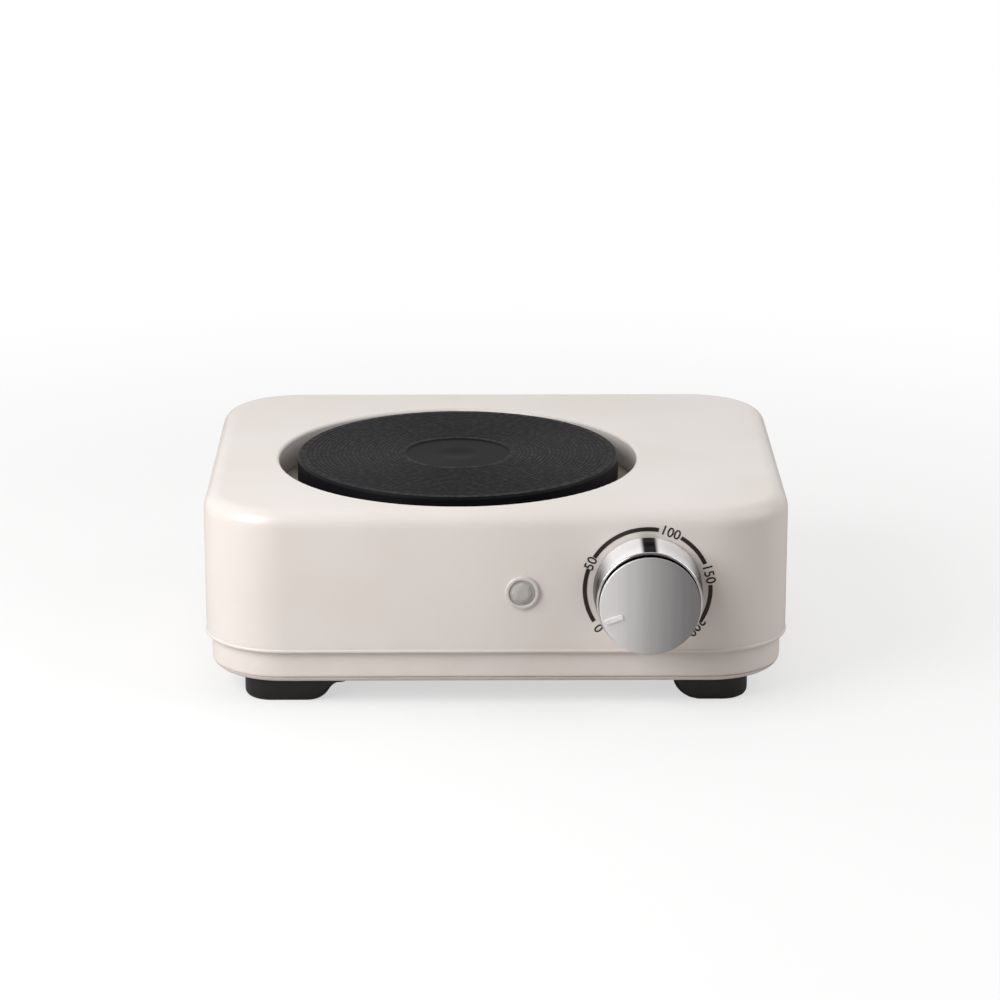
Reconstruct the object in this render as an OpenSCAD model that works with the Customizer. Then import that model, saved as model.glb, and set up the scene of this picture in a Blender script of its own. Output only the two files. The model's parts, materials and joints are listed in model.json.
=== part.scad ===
// Compact electric hot plate burner.
// A pressed steel shell with a round well stands on a shallow plastic tray with four rubber feet.
// A cast-iron plate is clamped in the well by a centre stud and a crossbar. A knob on the front
// turns a bimetal thermostat, and a neon lamp beside it shows when the plate is heating.
// Millimetres, +Z up, front towards -Y. The table is z = 0.

/* [Housing] */
// Width of the housing, left to right
body_w = 212; // [206:1:224]
// Depth of the housing, front wall to rear wall
body_d = 168; // [168:1:180]
// Height of the housing's top face above the table
top_z = 74; // [73:0.5:78]
// Plan radius of the housing's four corners
corner_r = 29; // [27:0.5:31]
// Radius of the soft edge round the top face
edge_r = 6.2; // [5:0.1:6.2]
// Thickness of the pressed steel shell
shell_t = 1.2; // [1:0.1:1.4]
// Height of the shell's lower edge above the table
seam_z = 21; // [20:0.5:22]

/* [Tray and feet] */
// How far the tray's wall stands inside the shell's outer face
tray_inset = 2; // [1.8:0.1:2.4]
// Height of the tray's underside above the table
tray_z = 9; // [8.5:0.5:9.5]
// Thickness of the moulded tray
tray_t = 2; // [1.8:0.1:2.2]
// Radius of the tray's lower edge
tray_r = 3.5; // [3:0.1:4]
// Distance from the middle of the tray to a foot's outer end
foot_reach = 91.5; // [90:0.5:93]
// How far a foot stands behind the nearer housing wall
foot_setback = 9; // [9:0.5:12]
// Depth of a foot, front to back
foot_d = 26; // [22:1:30]

/* [Hot plate] */
// Radius of the cast-iron plate
plate_r = 60; // [58:0.5:61]
// Height of the plate's face above the housing's top face
plate_proud = 1; // [0.5:0.1:3]
// Height of the plate's rim, face to underside
plate_h = 9; // [8.5:0.1:9.2]
// Plate centre, to the left of the housing's middle
plate_left = 14; // [12:0.5:16]
// Plate centre, in front of the housing's middle
plate_front = 9.5; // [4:0.5:9.5]
// Radius at which the well's soft lip leaves the top face
well_r = 68; // [67.5:0.1:68.2]
// Depth of the well's floor below the top face
well_depth = 12; // [11.5:0.1:12.5]

/* [Knob and dial] */
// Knob centre, to the right of the housing's middle
knob_x = 54; // [50:0.5:58]
// Height of the knob's centre above the table
knob_z = 45; // [43:0.5:47]
// Radius of the knob's skirt at the housing
knob_base_r = 19.6; // [19.5:0.1:21]
// Radius of the knob's front rim
knob_rim_r = 18.8; // [18.4:0.1:19]
// How far the knob's rim stands in front of the housing
knob_rim_out = 16.4; // [16:0.1:18]
// Middle radius of the printed dial ring
dial_r = 22.5; // [22:0.1:26]
// Angle of the pointer, anticlockwise from the right as seen from the front
pointer_angle = 200; // [150:1:215]

/* [Indicator] */
// Lamp centre, to the right of the housing's middle
lamp_x = 9.2; // [4:0.2:12]
// Height of the lamp's centre above the table
lamp_z = 44; // [42:0.2:47]
// Outer radius of the lamp's bezel
lamp_r = 6.1; // [5.8:0.1:7]

/* [Cord inlet] */
// Gland centre, to the right of the housing's middle
gland_x = 60; // [50:1:66]
// Height of the gland's centre above the table
gland_z = 36; // [36:0.5:40]
// Radius of the hole for a round mains cord
cord_hole_r = 3.6; // [3:0.1:4]

/* [Hidden] */
$fn = 96;
tiny = 0.01;
FEET = ["foot_front_left", "foot_front_right", "foot_rear_left", "foot_rear_right"];

// Knob, seen along its axis; distances are outwards from the front face
knob_gap = 0.6;
knob_wall = 1.8;
web_t = 2;
collar_r = knob_rim_r - 1.4;
collar_h = 2.6;
collar_flange_r = knob_rim_r - 0.7;
collar_flange_t = 0.4;
cap_r = knob_rim_r - 0.9;
cap_t = 1.2;
pointer_h = 0.6;
pointer_w = 1.8;
pointer_in = 10.3;
pointer_out = 16.8;
cap_out = knob_rim_out + collar_h + cap_t;
knob_reach = cap_out + pointer_h;

// Dial print: its ink, line width and arcs, each as the angle it starts at and its sweep
ink_t = 0.12;
dial_line_w = 1.5;
dial_arcs = [[80.5, 67.5], [160, 52], [25, 33.5], [-32.5, 36.5]];

// The origin lies under the middle of the whole part, knob and gland included
gland_reach = 6;
origin_shift = (knob_reach - gland_reach) / 2;

// Shell
hem_r = 0.8;
hem_proud = 0.3;
vent_count = 9;
vent_w = 3;
vent_h = 22;
vent_pitch = 9;
vent_x = -66;
vent_z = 30;

// Tray
tray_top = seam_z + 6;
seam_groove_z = tray_z + 2.1;
column_r = 4.5;
column_top = seam_z - 1;
post_r = 4;
post_hole_r = 1.55;
post_x = body_w / 2 - 11;
post_y = 38;
slot_count = 7;
slot_pitch = 12;
slot_w = 3;
slot_l = 60;

// Screws: shank radius, head radius and head height
screw_r = 1.5;
head_r = 3;
head_h = 2.2;
head_bore_r = 3.4;
tray_head_z = tray_z + 1.3;
foot_head_z = 1.3;

// Feet
foot_sole_l = 24.7;
foot_sweep_run = 6;
foot_sweep_h = 3.5;
foot_swept_l = foot_sole_l + 2 * foot_sweep_run + 0.5;
foot_round_l = 27.5;
foot_sweep_r = (foot_sweep_run ^ 2 + foot_sweep_h ^ 2) / (2 * foot_sweep_h);
foot_edge_r = 2.5;
foot_plan_r = 8;
foot_toe_r = 3;
foot_screw_x = foot_reach - 13.5;
foot_screw_y = body_d / 2 - foot_setback - foot_d / 2;

// Well, plate and the stack that clamps it
lip_r = 1.2;
well_wall_r = well_r - lip_r;
well_floor_z = top_z - well_depth;
flange_in_r = 56;
face_z = top_z + plate_proud;
under_z = face_z - plate_h;
rim_bevel = 0.8;
recess_r = 19.4;
dip_r = 9;
coil_bay_in_r = 22;
coil_bay_out_r = 54;
coil_bay_h = 4;
coil_r = 1.25;
coil_z = under_z + 2.6;
coil_in_r = 27;
coil_out_r = 47;
coil_turns = 3;
cover_t = 0.8;
shield_t = 0.8;
shield_r = well_wall_r - 0.4;
dish_r = flange_in_r - 0.6;
dish_drop = 4;
shield_floor_z = well_floor_z - dish_drop;
stud_r = 3;
stud_hole_r = 3.05;
bar_t = 2;
bar_w = 16;
bar_z = shield_floor_z - 4.2;
bar_step_in = flange_in_r;
bar_reach = flange_in_r + 7;
washer_t = 1.2;
nut_h = 5;
pin_r = 1.2;
block_h = 8;

// Thermostat, measured inwards from the front face
frame_t = 1.5;
bush_r = 5;
bush_bore_r = 3.05;
bush_in = 9;
bush_out = 4;
shaft_r = 3;
shaft_in = 13;
shaft_out = 14;
flat_depth = 0.8;
stack_x = 17;
stack_r = 6;
rivet_r = 1.6;
blade_w = 7;
blade_t = 0.5;
control_u = 16;
contact_u = 19.5;
bimetal_u = 23;
bimetal_t = 1;
stack_end_u = 26;
pin_travel_gap = 0.8;
spacer_spans = [[shell_t + frame_t, control_u], [control_u + blade_t, contact_u],
  [contact_u + blade_t, bimetal_u], [bimetal_u + bimetal_t, stack_end_u]];

// Mains terminal block
mains_x = 60;
mains_y = 48;
mains_w = 42;
mains_depth = 16;
mains_h = 13;
mains_hole_z = tray_z + tray_t + 6;
mains_ways = [-15, -5, 5, 15];

// Fuse, beside the crossbar and under the shield
fuse_x = -4;
fuse_y = -39.5;
fuse_r = 2;
fuse_l = 12;
fuse_z = shield_floor_z - 2.95;

// Wires: routes through the housing, as points the insulation passes
power_wire_r = 1.1;
lamp_wire_r = 0.7;
lamp_lead_x = 1.2;
live_route = [[75, 43, 17], [75, 38, 17], [76, 30, 17], [83, 5, 20], [84, -28, 30],
  [88, -48, 38], [91, -60, 44], [89, -64.2, 45], [84.3, -64.2, 45]];
switched_route = [[6.4, -39.5, 55], [18, -41, 52], [38, -46, 40], [60, -49, 31], [80, -53, 29],
  [91, -60, 33], [94, -67, 41], [91, -67.8, 45], [86.4, -67.8, 45]];
fuse_route = [[-14.4, -39.5, 55], [-24, -38, 50], [-34, -25, 42], [-34, 0, 36], [-22, 13, 34],
  [-14, 17.5, 38], [-14, 17.5, 42.6]];
neutral_route = [[45, 43, 17], [45, 38, 17], [43, 32, 17], [30, 30, 21], [8, 34, 25],
  [-10, 37.5, 31], [-14, 37.5, 37], [-14, 37.5, 42.6]];
earth_route = [[55, 43, 17], [55, 38, 17], [55, 32, 18], [54, 16, 25], [51, -2, 37],
  [46, -9.5, 45], [37.6, -9.5, 46]];
lamp_feed_route = [[lamp_x + lamp_lead_x, -59.6, lamp_z], [11, -52, 41], [24, -32, 26],
  [44, -4, 17], [60, 20, 15], [65, 32, 16], [65, 38, 17], [65, 43, 17]];
lamp_return_route = [[lamp_x - lamp_lead_x, -71.6, lamp_z], [4, -66, 39], [18, -58, 28], [50, -56, 23],
  [82, -60, 24], [93, -69, 31], [91, -70, 38], [86.3, -67.8, 42.4]];

// ---- Shapes that several sub-parts share ----

// Everything stands in the housing's own frame, then moves so the origin is the part's middle
module placed() {
  translate([0, origin_shift, 0]) children();
}

// Local frame on the front face: x right, y up, z outwards
module on_front(x, z) {
  translate([x, -body_d / 2, z]) rotate([90, 0, 0]) children();
}

// Local frame with z running backwards from a point, for pieces that lie along the depth
module along_depth(x, y, z) {
  translate([x, y, z]) rotate([-90, 0, 0]) children();
}

// Moves to the middle of the hot plate
module at_plate() {
  translate([-plate_left, -plate_front, 0]) children();
}

// Waste outside a quarter round of radius r, centred on [x, z]; turn picks the quadrant
module edge_waste(x, z, r, turn = 0) {
  translate([x, z]) rotate(turn) difference() {
    square(r + 1);
    circle(r = r);
  }
}

// Sweeps a wall section round a rounded rectangle. The section's x is 0 on the outline and
// negative inside, and its y is the height. Sides and corners meet face to face.
module ring_sweep(w, d, r) {
  for (k = [0 : 3]) {
    half_x = (k % 2 == 0 ? w : d) / 2;
    half_y = (k % 2 == 0 ? d : w) / 2;
    rotate([0, 0, 90 * k]) {
      translate([half_x, half_y - r, 0]) rotate([90, 0, 0])
        linear_extrude(2 * (half_y - r)) children();
      translate([half_x - r, half_y - r, 0]) rotate_extrude(angle = 90)
        translate([r, 0]) children();
    }
  }
}

// Flat plate that fills the middle of a ring sweep
module middle_plate(z, t) {
  translate([-body_w / 2 + corner_r, -body_d / 2 + corner_r, z])
    cube([body_w - 2 * corner_r, body_d - 2 * corner_r, t]);
}

// Round tube or ring between two radii
module ring(r_in, r_out, z, h) {
  translate([0, 0, z]) linear_extrude(h) difference() {
    circle(r = r_out);
    circle(r = r_in);
  }
}

// Slot with round ends, in plan, along the second axis
module slot_shape(w, l) {
  translate([-w / 2, -l / 2 + w / 2]) square([w, l - w]);
  for (s = [-1, 1]) translate([0, s * (l / 2 - w / 2)]) circle(d = w);
}

// Cross-head screw standing head down, with its head's flat face at z
module screw(z, length, r = screw_r, hr = head_r, hh = head_h) {
  recess_w = hr / 4;
  recess_l = hr * 1.2;
  difference() {
    union() {
      translate([0, 0, z]) cylinder(r = hr, h = hh);
      translate([0, 0, z + hh]) cylinder(r = r, h = length);
    }
    for (a = [0, 90]) rotate([0, 0, a])
      translate([-recess_l / 2, -recess_w / 2, z - 1]) cube([recess_l, recess_w, 1.9]);
  }
}

// Positions that repeat
module at_posts() {
  for (sx = [-1, 1], sy = [-1, 1]) translate([sx * post_x, sy * post_y, 0]) children();
}

module at_foot_screws() {
  for (sx = [-1, 1], sy = [-1, 1]) translate([sx * foot_screw_x, sy * foot_screw_y, 0]) children();
}

// ---- Insulated wires: a tube swept along a smooth curve through a route's points ----

// Catmull-Rom curve through points b and c
function bend(a, b, c, d, t) = 0.5 * (2 * b + (c - a) * t + (2 * a - 5 * b + 4 * c - d) * t * t
  + (3 * b - a - 3 * c + d) * t * t * t);
function smooth(p, steps) = let (n = len(p)) [
  for (i = [0 : n - 2], k = [0 : steps - 1])
    bend(p[max(i - 1, 0)], p[i], p[i + 1], p[min(i + 2, n - 1)], k / steps),
  p[n - 1]
];
function unit(v) = v / norm(v);
function heading(p, i) = unit(p[min(i + 1, len(p) - 1)] - p[max(i - 1, 0)]);
// Carries a side direction along the path so that the tube doesn't twist
function square_to(v, t) = unit(v - t * (v * t));
function sides(p, i, v) = i == len(p) ? [] : let (s = square_to(v, heading(p, i)))
  concat([s], sides(p, i + 1, s));

module tube(path, r, around = 8) {
  first = heading(path, 0);
  start = abs(first[2]) < 0.9 ? [0, 0, 1] : [1, 0, 0];
  side = sides(path, 0, start);
  rings = len(path);
  points = [for (i = [0 : rings - 1], k = [0 : around - 1])
    let (a = 360 * k / around, t = heading(path, i), other = cross(t, side[i]))
    path[i] + r * (cos(a) * side[i] + sin(a) * other)];
  walls = [for (i = [0 : rings - 2], k = [0 : around - 1])
    let (n = (k + 1) % around)
    each [[i * around + k, (i + 1) * around + k, (i + 1) * around + n],
      [i * around + k, (i + 1) * around + n, i * around + n]]];
  start_cap = [[for (k = [0 : around - 1]) k]];
  end_cap = [[for (k = [around - 1 : -1 : 0]) (rings - 1) * around + k]];
  polyhedron(points, concat(walls, start_cap, end_cap));
}

module wire(route, r, steps = 3) {
  tube(smooth(route, steps), r);
}

// ---- Housing ----

// Section of the pressed shell: side wall, soft top edge, top face and rolled hem
module shell_section() {
  difference() {
    union() {
      translate([-corner_r, seam_z + hem_r])
        square([corner_r, top_z - seam_z - hem_r]);
      translate([hem_proud - hem_r, seam_z + hem_r]) circle(r = hem_r);
    }
    edge_waste(-edge_r, top_z - edge_r, edge_r);
    difference() {
      translate([-corner_r - 1, seam_z - 1])
        square([corner_r + 1 - shell_t, top_z - shell_t - seam_z + 1]);
      edge_waste(-edge_r, top_z - edge_r, edge_r - shell_t);
    }
  }
}

// Section of the well: soft lip, wall and the flange that carries the heat shield
module well_section() {
  intersection() {
    translate([well_r, top_z - lip_r]) difference() {
      circle(r = lip_r);
      circle(r = lip_r - shell_t);
    }
    translate([well_wall_r, top_z - lip_r]) square(lip_r);
  }
  translate([well_wall_r, well_floor_z - shell_t])
    square([shell_t, well_depth - lip_r + shell_t]);
  translate([flange_in_r, well_floor_z - shell_t])
    square([well_wall_r + shell_t - flange_in_r, shell_t]);
}

module upper_housing() {
  color("antiquewhite") difference() {
    union() {
      difference() {
        union() {
          ring_sweep(body_w, body_d, corner_r) shell_section();
          middle_plate(top_z - shell_t, shell_t);
        }
        at_plate() translate([0, 0, top_z - 5]) cylinder(r = well_r, h = 10, $fn = 192);
      }
      at_plate() rotate_extrude($fn = 192) well_section();
    }
    on_front(knob_x, knob_z) translate([0, 0, -5]) cylinder(r = bush_r + 0.1, h = 10);
    on_front(lamp_x, lamp_z) translate([0, 0, -5]) cylinder(r = 4.6, h = 10);
    along_depth(gland_x, body_d / 2 - 5, gland_z) cylinder(r = 6.05, h = 10);
    for (i = [0 : vent_count - 1])
      along_depth(vent_x + i * vent_pitch, body_d / 2 - 5, vent_z + vent_h / 2)
        linear_extrude(10) slot_shape(vent_w, vent_h);
  }
}

// Section of the tray: floor, rounded lower edge, wall that rises inside the shell
module tray_section() {
  difference() {
    translate([-corner_r, tray_z]) square([corner_r - tray_inset, tray_top - tray_z]);
    edge_waste(-tray_inset - tray_r, tray_z + tray_r, tray_r, 270);
    difference() {
      translate([-corner_r - 1, tray_z + tray_t])
        square([corner_r + 1 - tray_inset - tray_t, tray_top - tray_z]);
      edge_waste(-tray_inset - tray_r, tray_z + tray_r, tray_r - tray_t, 270);
    }
    translate([-tray_inset - 0.8, seam_groove_z]) square([2, 0.5]);
  }
}

module bottom_tray() {
  color("antiquewhite") difference() {
    union() {
      ring_sweep(body_w, body_d, corner_r) tray_section();
      middle_plate(tray_z, tray_t);
      at_posts() translate([0, 0, tray_z + tray_t / 2])
        cylinder(r = column_r, h = column_top - tray_z - tray_t / 2);
      at_foot_screws() translate([0, 0, tray_z + tray_t / 2]) cylinder(r = 4, h = 6);
    }
    at_posts() translate([0, 0, tray_z - 1]) cylinder(r = 1.7, h = 20);
    at_posts() translate([0, 0, tray_z - 1]) cylinder(r = head_bore_r, h = 4.5);
    at_foot_screws() translate([0, 0, tray_z - 1]) cylinder(r = post_hole_r, h = 20);
    for (i = [0 : slot_count - 1])
      at_plate() translate([(i - (slot_count - 1) / 2) * slot_pitch, 0, tray_z - 1])
        linear_extrude(6) slot_shape(slot_w, slot_l);
  }
}

// Pillars welded under the shell's top face; the tray screws bite in them
module corner_posts() {
  color("silver") at_posts() difference() {
    translate([0, 0, column_top]) cylinder(r = post_r, h = top_z - shell_t - column_top);
    translate([0, 0, column_top - 1]) cylinder(r = post_hole_r, h = 17);
  }
}

module tray_screws() {
  color("dimgray") at_posts() screw(tray_head_z, 19);
}

// Side view of a foot, its outer end rounded at the sole. A swept foot, on the left, runs up in an
// S-curve to a thin toe; a foot on the right ends in one quarter round.
module foot_profile(swept) {
  toe_x = foot_reach - (swept ? foot_swept_l : foot_round_l);
  bend_x = foot_reach - foot_sole_l - foot_sweep_run;
  hollow_x = bend_x - foot_sweep_run;
  difference() {
    translate([toe_x, 0]) square([foot_reach - toe_x, tray_z]);
    edge_waste(foot_reach - foot_edge_r, foot_edge_r, foot_edge_r, 270);
    if (swept) {
      translate([bend_x, -1]) difference() {
        square([foot_sweep_run, foot_sweep_h + 1]);
        translate([foot_sweep_run, foot_sweep_r + 1]) circle(r = foot_sweep_r);
      }
      translate([toe_x - 1, -1]) square([bend_x - toe_x + 1, foot_sweep_h + 1]);
      translate([hollow_x, 2 * foot_sweep_h - foot_sweep_r]) circle(r = foot_sweep_r);
      translate([toe_x - 1, -1]) square([hollow_x - toe_x + 1, 2 * foot_sweep_h + 1]);
    } else {
      edge_waste(toe_x + tray_z, tray_z, tray_z, 180);
    }
  }
}

// Plan view of a foot, with a large radius on its outer corners
module foot_plan(swept) {
  toe_x = foot_reach - (swept ? foot_swept_l : foot_round_l);
  far_y = body_d / 2 - foot_setback;
  near_y = far_y - foot_d;
  difference() {
    translate([toe_x, near_y]) square([foot_reach - toe_x, foot_d]);
    edge_waste(foot_reach - foot_plan_r, far_y - foot_plan_r, foot_plan_r);
    edge_waste(foot_reach - foot_plan_r, near_y + foot_plan_r, foot_plan_r, 270);
    edge_waste(toe_x + foot_toe_r, far_y - foot_toe_r, foot_toe_r, 90);
    edge_waste(toe_x + foot_toe_r, near_y + foot_toe_r, foot_toe_r, 180);
  }
}

module foot(side_x, side_y) {
  swept = side_x < 0;
  color([0.07, 0.07, 0.07]) mirror([swept ? 1 : 0, 0, 0]) mirror([0, side_y < 0 ? 1 : 0, 0])
    difference() {
      intersection() {
        translate([0, body_d / 2, 0]) rotate([90, 0, 0]) linear_extrude(body_d)
          foot_profile(swept);
        linear_extrude(tray_z) foot_plan(swept);
      }
      translate([foot_screw_x, foot_screw_y, -1]) cylinder(r = 1.7, h = tray_z + 2);
      translate([foot_screw_x, foot_screw_y, -1])
        cylinder(r = head_bore_r, h = foot_head_z + head_h + 1);
    }
}

module foot_screws() {
  color("dimgray") at_foot_screws() screw(foot_head_z, 12);
}

// Rubber grommet with a groove that snaps round the rear wall's hole
module cord_gland() {
  nose_r = 5.6;
  color([0.1, 0.1, 0.1]) along_depth(gland_x, body_d / 2, gland_z) rotate_extrude() difference() {
    polygon([[0, -shell_t - 3.3], [7.4, -shell_t - 3.3], [8, -shell_t - 2.6], [8, -shell_t],
      [6, -shell_t], [6, 0], [9, 0], [9, 1.9], [8.4, 2.5], [6.6, 2.5],
      [nose_r, gland_reach], [0, gland_reach]]);
    translate([-1, -10]) square([cord_hole_r + 1, 20]);
  }
}

// Printed ring round the knob, in arcs that leave room for the five position marks
module dial_print() {
  color([0.08, 0.08, 0.08]) on_front(knob_x, knob_z)
    for (arc = dial_arcs) rotate([0, 0, arc[0]]) rotate_extrude(angle = arc[1])
      translate([dial_r - dial_line_w / 2, 0]) square([dial_line_w, ink_t]);
}

// ---- Hot plate and the stack that clamps it ----

module hot_plate() {
  bay_top = under_z + coil_bay_h;
  color([0.16, 0.16, 0.17]) at_plate() rotate_extrude($fn = 192) polygon([
    [0, face_z - 1.1], [dip_r, face_z - 0.6], [recess_r - 0.4, face_z - 0.6],
    [recess_r + 0.4, face_z], [plate_r - rim_bevel, face_z], [plate_r, face_z - rim_bevel],
    [plate_r, under_z], [coil_bay_out_r, under_z], [coil_bay_out_r, bay_top],
    [coil_bay_in_r, bay_top], [coil_bay_in_r, under_z], [stud_hole_r, under_z],
    [stud_hole_r, under_z + 5.5], [0, under_z + 5.5]]);
}

// Flat spiral of resistance wire, from the inner terminal pin to the outer one
module heating_coil() {
  steps = 72;
  path = [for (i = [0 : steps])
    let (a = 90 + 360 * coil_turns * i / steps, r = coil_in_r + (coil_out_r - coil_in_r) * i / steps)
    [r * cos(a), r * sin(a), coil_z]];
  color("peru") at_plate() tube(path, coil_r);
}

// The coil's two ends, one at each of these distances behind the plate's middle
module at_pins() {
  for (y = [coil_in_r, coil_out_r]) at_plate() translate([0, y, 0]) children();
}

module insulation_pad() {
  color("ivory") difference() {
    at_plate() ring(coil_bay_in_r + 0.5, coil_bay_out_r - 0.5, under_z, 1.1);
    at_pins() translate([0, 0, under_z - 1]) cylinder(r = 1.8, h = 4);
  }
}

module plate_cover() {
  color("lightgray") difference() {
    at_plate() ring(stud_r + 0.3, plate_r - 2, under_z - cover_t, cover_t);
    at_pins() translate([0, 0, under_z - 2]) cylinder(r = 2.6, h = 4);
  }
}

module plate_stud() {
  bottom = bar_z - washer_t - nut_h - 4;
  color("silver") at_plate() translate([0, 0, bottom])
    cylinder(r = stud_r, h = under_z + 5.2 - bottom);
}

module plate_spacer() {
  bottom = shield_floor_z + shield_t;
  color("silver") at_plate() ring(stud_r + 0.3, 6.5, bottom, under_z - cover_t - bottom);
}

// Pressed dish that closes the well: its rim lies on the well's flange
module heat_shield() {
  color("darkgray") difference() {
    at_plate() rotate_extrude($fn = 192) {
      translate([dish_r - shield_t, well_floor_z])
        square([shield_r - dish_r + shield_t, shield_t]);
      translate([dish_r - shield_t, shield_floor_z]) square([shield_t, dish_drop]);
      translate([stud_r + 0.3, shield_floor_z])
        square([dish_r - shield_t - stud_r - 0.3, shield_t]);
    }
    at_pins() translate([0, 0, shield_floor_z - 1]) cylinder(r = 2.6, h = 4);
  }
}

// Strap under the well: its raised ends bear on the flange from below
module crossbar() {
  end_z = well_floor_z - shell_t - bar_t;
  color("silver") at_plate() difference() {
    union() {
      translate([-bar_step_in - bar_t, -bar_w / 2, bar_z])
        cube([2 * (bar_step_in + bar_t), bar_w, bar_t]);
      for (s = [-1, 1]) {
        translate([s * (bar_step_in + bar_t / 2) - bar_t / 2, -bar_w / 2, bar_z])
          cube([bar_t, bar_w, end_z + bar_t - bar_z]);
        translate([s > 0 ? bar_step_in : -bar_reach, -bar_w / 2, end_z])
          cube([bar_reach - bar_step_in, bar_w, bar_t]);
      }
    }
    translate([0, 0, bar_z - 1]) cylinder(r = stud_r + 0.3, h = 4);
    translate([44, 0, bar_z - 1]) cylinder(r = 2.1, h = 4);
  }
}

module stud_washer() {
  color("silver") at_plate() ring(stud_r + 0.2, 8, bar_z - washer_t, washer_t);
}

module stud_nut() {
  color("silver") at_plate() translate([0, 0, bar_z - washer_t - nut_h]) difference() {
    cylinder(r = 10 / sqrt(3), h = nut_h, $fn = 6);
    translate([0, 0, -1]) cylinder(r = stud_hole_r, h = nut_h + 2);
  }
}

module coil_terminal_block() {
  margin = 5;
  color("ivory") difference() {
    at_plate() translate([-7, coil_in_r - margin, shield_floor_z - block_h])
      cube([14, coil_out_r - coil_in_r + 2 * margin, block_h]);
    at_pins() translate([0, 0, shield_floor_z - block_h - 1]) cylinder(r = pin_r + 0.05, h = 12);
  }
}

module coil_terminal_pins() {
  bottom = shield_floor_z - block_h - 6;
  top = coil_z - coil_r - 0.1;
  color("gold") at_pins() translate([0, 0, bottom]) cylinder(r = pin_r, h = top - bottom);
}

module pin_connectors() {
  bottom = shield_floor_z - block_h - 7;
  color("khaki") at_pins() difference() {
    translate([0, 0, bottom]) cylinder(r = 2.4, h = 6.5);
    translate([0, 0, bottom + 1]) cylinder(r = pin_r + 0.05, h = 6);
  }
}

module thermal_fuse() {
  lead_l = 4;
  color("goldenrod") translate([fuse_x, fuse_y, fuse_z]) rotate([0, 90, 0]) {
    translate([0, 0, -fuse_l / 2]) cylinder(r = fuse_r, h = fuse_l);
    translate([0, 0, -fuse_l / 2 - lead_l]) cylinder(r = 0.5, h = fuse_l + 2 * lead_l);
  }
}

// Strap that holds the fuse against the shield's underside
module fuse_clip() {
  strap_w = 6;
  strap_t = 0.8;
  color("silver") difference() {
    translate([fuse_x - strap_w / 2, fuse_y, fuse_z]) rotate([90, 0, 90]) linear_extrude(strap_w) {
      difference() {
        circle(r = fuse_r + 0.05 + strap_t);
        circle(r = fuse_r + 0.05);
      }
      translate([1.6, shield_floor_z - 0.05 - strap_t - fuse_z]) square([8, strap_t]);
    }
    translate([fuse_x, fuse_y + 7, fuse_z]) cylinder(r = 1.1, h = 4);
  }
}

// ---- Knob ----

// Chrome skirt: hollow cone with a front web and a hub that takes the shaft's flat
module knob_skirt() {
  rim_round = 0.7;
  cavity_front = knob_rim_out - web_t;
  hub_r = 5.5;
  hub_back = 6;
  bore_r = shaft_r + 0.06;
  color("gainsboro") on_front(knob_x, knob_z) difference() {
    union() {
      rotate_extrude($fn = 128) difference() {
        polygon([[0, knob_gap], [knob_base_r, knob_gap], [knob_rim_r, knob_rim_out - rim_round],
          [knob_rim_r - rim_round, knob_rim_out], [0, knob_rim_out]]);
        polygon([[-1, knob_gap - 1], [knob_base_r - knob_wall, knob_gap - 1],
          [knob_rim_r - knob_wall, cavity_front], [-1, cavity_front]]);
      }
      translate([0, 0, hub_back]) cylinder(r = hub_r, h = cavity_front - hub_back + tiny);
    }
    difference() {
      translate([0, 0, hub_back - 1]) cylinder(r = bore_r, h = shaft_out + 0.2 - hub_back + 1);
      translate([-5, bore_r - flat_depth, hub_back - 2]) cube([10, 5, 20]);
    }
  }
}

module knob_collar() {
  color([0.05, 0.05, 0.05]) on_front(knob_x, knob_z) translate([0, 0, knob_rim_out])
    rotate_extrude($fn = 128) polygon([[0, 0], [collar_flange_r, 0],
      [collar_flange_r, collar_flange_t], [collar_r, collar_flange_t], [collar_r, collar_h],
      [0, collar_h]]);
}

module knob_cap() {
  bevel = 0.3;
  back = knob_rim_out + collar_h;
  color("darkgray") on_front(knob_x, knob_z) rotate_extrude($fn = 128)
    polygon([[0, back], [cap_r, back], [cap_r, cap_out - bevel], [cap_r - bevel, cap_out],
      [0, cap_out]]);
}

module knob_pointer() {
  color("white") on_front(knob_x, knob_z) rotate([0, 0, pointer_angle])
    translate([pointer_in, -pointer_w / 2, cap_out])
      cube([pointer_out - pointer_in, pointer_w, pointer_h]);
}

// Spring ring that grips the hub round the shaft
module knob_clip() {
  color("silver") on_front(knob_x, knob_z) difference() {
    ring(5.5, 6.2, 8, 3);
    translate([-1.5, -8, 7]) cube([3, 6, 5]);
  }
}

// ---- Thermostat ----

module thermostat_shaft() {
  groove_u = bush_in + 0.5;
  color("silver") on_front(knob_x, knob_z) difference() {
    translate([0, 0, -shaft_in]) cylinder(r = shaft_r, h = shaft_in + shaft_out);
    translate([-5, shaft_r - flat_depth, 5.5]) cube([10, 5, 20]);
    ring(2.5, 5, -groove_u - 1, 1);
    translate([0, 0, -shaft_in - 1]) cylinder(r = 1.56, h = 7);
  }
}

module shaft_clip() {
  color("dimgray") on_front(knob_x, knob_z) difference() {
    ring(2.55, 5, -bush_in - 1.4, 0.8);
    translate([-1.6, -8, -bush_in - 2]) cube([3.2, 8, 3]);
  }
}

// Ceramic pin that the shaft's thread pushes towards the control blade
module adjuster_pin() {
  tip = control_u - pin_travel_gap;
  color("ivory") on_front(knob_x, knob_z) {
    translate([0, 0, -tip]) cylinder(r = 1.5, h = tip - 8);
    translate([0, 0, -tip]) cylinder(r = 2.2, h = 1.2);
  }
}

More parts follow.
